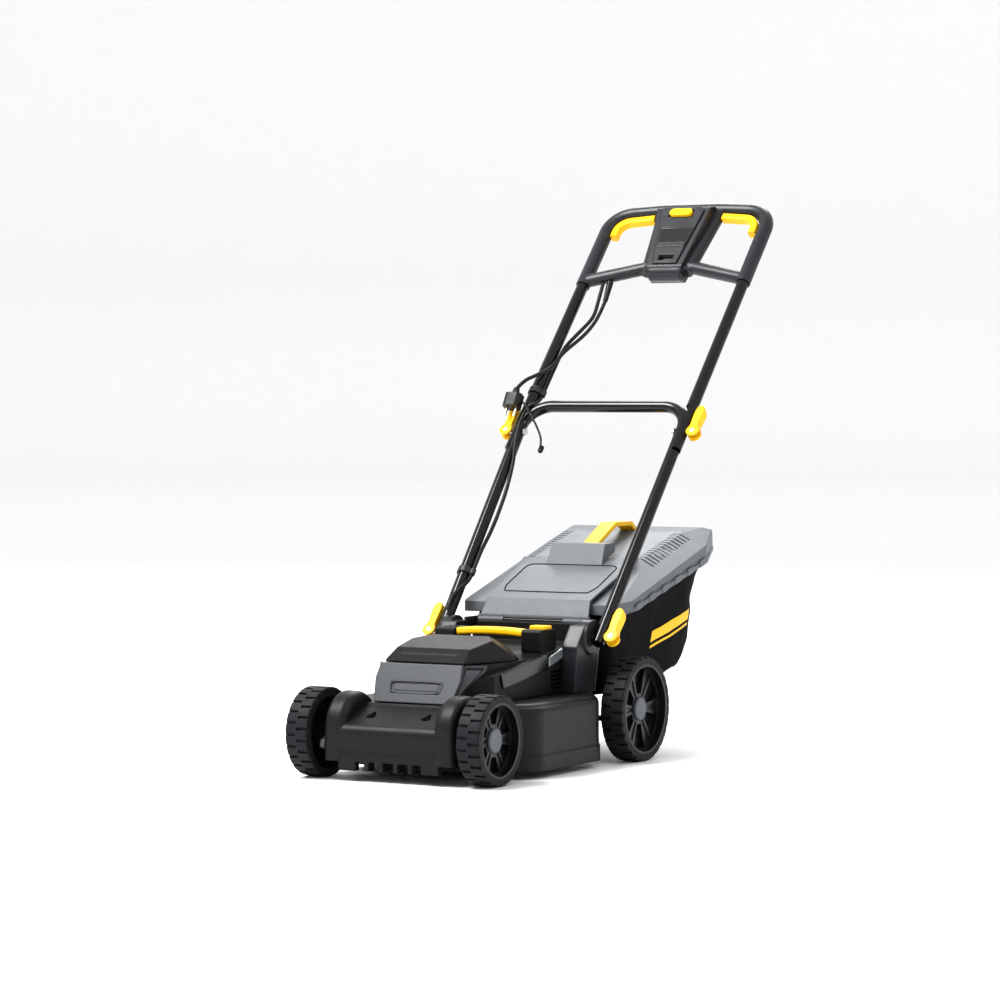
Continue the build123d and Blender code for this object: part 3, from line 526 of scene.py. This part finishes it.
def screw(name, place, out, body, radius=3.4 * MM):
    """Domed cross-head screw: a low dome with a cross pressed into it."""
    out = out.normalized()
    side = out.orthogonal().normalized()
    up = out.cross(side)
    mesh = bmesh.new()
    count = 24
    rings = []
    for share, lift in ((1.0, -0.4), (1.0, 0.25), (0.82, 0.5), (0.5, 0.62)):
        ring = []
        for i in range(count):
            turn = 2 * math.pi * i / count
            reach = radius * share
            ring.append(mesh.verts.new(place + (side * math.cos(turn) + up * math.sin(turn)) * reach
                                       + out * lift * radius * 0.6))
        rings.append(ring)
    inner = []
    for i in range(count):
        turn = 2 * math.pi * i / count
        arm = 0.42 if i % 6 in (0, 1, 5) else 0.14
        inner.append(mesh.verts.new(place + (side * math.cos(turn) + up * math.sin(turn)) * radius * arm
                                    - out * radius * 0.1))
    rings.append(inner)
    for low, high in zip(rings, rings[1:]):
        for i in range(count):
            mesh.faces.new((low[i], low[(i + 1) % count], high[(i + 1) % count], high[i]))
    mesh.faces.new(rings[-1])
    data = bpy.data.meshes.new(name)
    mesh.to_mesh(data)
    mesh.free()
    return add(name, data, M["steel"], body)


make_switch_details()


# ---- lid and flap -------------------------------------------------------------------------
RIM_CLIPS = 6
RIM_CLIP_PITCH = 50
RIM_CLIP_FIRST_Y = 520
RIM_CLIP_X = 169.4
FLAP_PANEL = [(-84, 483), (84, 483), (92, 505), (92, 580), (82, 588), (-82, 588), (-92, 580), (-92, 505)]
FLAP_LINE_SHARES = (0.06, 0.5, 0.94)


def rim_height(y):
    """Middle of the lid's rim flange."""
    return 256 + (y - 462) * (105 / 400)


def flap_height(y):
    """Top of the flap's sloping panel."""
    return 278 + (y - 457) * (55 / 133)


def make_lid_details():
    """Hook tabs along the rim, and a dark line of painted shade where the flap's panel is pressed in."""
    up = Vector((0, 1, RIM_SLOPE)).normalized()
    for side in (-1, 1):
        label = "l" if side > 0 else "r"
        for i in range(RIM_CLIPS):
            y = RIM_CLIP_FIRST_Y + RIM_CLIP_PITCH * i
            place = at(side * RIM_CLIP_X, y, rim_height(y) - 4)
            rounded_slab(f"rim_clip_{label}{i}", place, up * side, Vector((0, 0, 1)),
                         26 * MM, 12 * MM, 2.4 * MM, 2 * MM, M["lid"], "grass_box")
    line = []
    for (x0, y0), (x1, y1) in zip(FLAP_PANEL, FLAP_PANEL[1:] + FLAP_PANEL[:1]):
        for share in FLAP_LINE_SHARES:
            x, y = x0 + (x1 - x0) * share, y0 + (y1 - y0) * share
            line.append(at(x, y, flap_height(y) + 0.2))
    # The dark line round the flap's panel is painted shade for its pressed groove.
    round_curve("flap_panel_shade_line", line, 1.0 * MM, EXTRA["groove"], "rear_flap", cyclic=True)


make_lid_details()


# ---- deck front and sides -----------------------------------------------------------------
def wing(name, corners, side):
    """Thin plate wrapped from the front panel on to the housing's side."""
    mesh = bmesh.new()
    lift = Vector((side * 1.6, -1.0, 0)) * MM
    inner = [mesh.verts.new(at(*corner)) for corner in corners]
    outer = [mesh.verts.new(at(*corner) + lift) for corner in corners]
    mesh.faces.new(outer)
    mesh.faces.new(list(reversed(inner)))
    for i in range(len(corners)):
        j = (i + 1) % len(corners)
        mesh.faces.new((inner[i], inner[j], outer[j], outer[i]))
    bmesh.ops.recalc_face_normals(mesh, faces=mesh.faces)
    data = bpy.data.meshes.new(name)
    mesh.to_mesh(data)
    mesh.free()
    add(name, data, M["panel"], "deck", smooth=False)


NOSE_FOOT = (-53, 90)
NOSE_HEAD = (25, 124)
RECESS_X = 53
RECESS_Y = -12
PANEL_FOOT = (26.5, 127.3)
PANEL_HEAD = (56.5, 189.8)
WINDOW_Z = 152
WINDOW_SINK = 1.6
WINDOW_RIM = [
    (-47, -10.5), (0, -10.5), (47, -10.5), (49.5, 0), (52, 10.5), (0, 10.5), (-52, 10.5), (-49.5, 0),
]
WING = [(73.5, 30, 128), (78.8, 66, 150), (101, 93.5, 178), (103, 96, 188), (78.8, 66, 189.4)]
FLASH_FRONT = (288, 181)
FLASH_REAR = (363, 201)
FLASH_MIDDLE = (326, 191)
FLASH_X = 114.6
SCREW_X = 104
SCREW_Z = 60
SCREW_YS = (-30, 60)


def height_between(foot, head, y):
    """Height at y of the slope from foot to head, each (y, z)."""
    return foot[1] + (y - foot[0]) * ((head[1] - foot[1]) / (head[0] - foot[0]))


def make_side_details(side):
    """Painted shade for the recess in the nose, a trim piece on the housing whose light grey is a painted
    highlight, and guard screws of one side.
    """
    label = "left" if side > 0 else "right"
    nose_up = (at(0, *NOSE_HEAD) - at(0, *NOSE_FOOT)).normalized()
    place = at(side * RECESS_X, RECESS_Y, height_between(NOSE_FOOT, NOSE_HEAD, RECESS_Y) + 0.6)
    # Dark slab on the nose: painted shade for the recess.
    rounded_slab(f"deck_recess_shade_{label}", place, ACROSS, nose_up, 17 * MM, 22 * MM, 1.5 * MM, 6 * MM,
                 EXTRA["groove"], "deck", top_width=8 * MM)
    # Glossy trim strip on the housing, coloured light grey as a painted highlight.
    along = (at(0, *FLASH_REAR) - at(0, *FLASH_FRONT)).normalized()
    rounded_slab(f"side_painted_highlight_{label}", at(side * FLASH_X, *FLASH_MIDDLE), along * side,
                 Vector((0, 0, 1)), 74 * MM, 17 * MM, 2.4 * MM, 3 * MM, EXTRA["highlight_trim"], "deck")
    for y in SCREW_YS:
        place = at(side * SCREW_X, y, SCREW_Z)
        screw(f"deck_screw_{label}_{y + 100}", place, Vector((side, 0, 0)), "deck")


def make_front_window():
    """Inset window with a raised rim in the front panel."""
    front_up = (at(0, *PANEL_HEAD) - at(0, *PANEL_FOOT)).normalized()
    out = ACROSS.cross(front_up)
    rise = (PANEL_HEAD[1] - PANEL_FOOT[1]) / (PANEL_HEAD[0] - PANEL_FOOT[0])
    face_y = PANEL_FOOT[0] + (WINDOW_Z - PANEL_FOOT[1]) / rise
    window = at(0, face_y, WINDOW_Z) - out * WINDOW_SINK * MM
    rounded_slab("front_window", window, ACROSS, front_up, 84 * MM, 12 * MM, 1.4 * MM, 1.5 * MM,
                 M["panel"], "deck", top_width=87 * MM)
    line = [window + ACROSS * (x * MM) + front_up * (z * MM) + out * 1.4 * MM for x, z in WINDOW_RIM]
    round_curve("front_window_frame", line, 1.3 * MM, M["panel"], "deck", cyclic=True)


def make_wings():
    for side in (-1, 1):
        label = "left" if side > 0 else "right"
        wing(f"front_wing_{label}", [(side * x, y, z) for x, y, z in WING], side)


for deck_side in (-1, 1):
    make_side_details(deck_side)
make_front_window()
make_wings()


# ---- stage --------------------------------------------------------------------------------
FLOOR_PROFILE = [(0, 0), (4, 0), (7, 0), (9.5, 0.25), (11, 1.2), (11.6, 3), (11.8, 7)]
AIM = Vector((0, 0, 0.4))
SKY_STRENGTH = 0.62
EXPOSURE = 0.45


def make_stage():
    """Pale floor that curves up into a wall all round, under soft lights."""
    profile = FLOOR_PROFILE
    count = 64
    verts, faces = [], []
    for radius, height in profile:
        for i in range(count):
            turn = 2 * math.pi * i / count
            verts.append((radius * math.cos(turn), radius * math.sin(turn), height))
    for ring in range(len(profile) - 1):
        for i in range(count):
            j = (i + 1) % count
            low, high = ring * count, (ring + 1) * count
            faces.append((low + i, low + j, high + j, high + i))
    mesh = bpy.data.meshes.new("floor")
    mesh.from_pydata(verts, [], faces)
    mesh.polygons.foreach_set("use_smooth", [True] * len(faces))
    pale = surface("pale_floor", (0.90, 0.90, 0.91), 0.45, rounding=0, mottle=0.01, specular=0.2)
    mesh.materials.append(pale)
    floor = bpy.data.objects.new("floor", mesh)
    bpy.context.scene.collection.objects.link(floor)

    world = bpy.data.worlds.new("studio")
    world.use_nodes = True
    world.node_tree.nodes["Background"].inputs["Color"].default_value = (1, 1, 1, 1)
    world.node_tree.nodes["Background"].inputs["Strength"].default_value = SKY_STRENGTH
    bpy.context.scene.world = world
    bpy.context.scene.view_settings.view_transform = "Standard"
    bpy.context.scene.view_settings.look = "Medium High Contrast"
    bpy.context.scene.view_settings.exposure = EXPOSURE

    for name, place, power, size in (
        ("key", (-1.6, -2.2, 4.0), 190, 2.2),
        ("side", (3.4, -0.6, 2.8), 12, 0.6),
        ("back", (-1.2, 3.2, 3.6), 70, 2.4),
    ):
        data = bpy.data.lights.new(name, "AREA")
        data.energy = power
        data.size = size
        light = bpy.data.objects.new(name, data)
        light.location = place
        light.rotation_euler = (AIM - Vector(place)).to_track_quat("-Z", "Y").to_euler()
        bpy.context.scene.collection.objects.link(light)


make_stage()

bpy.context.view_layer.update()
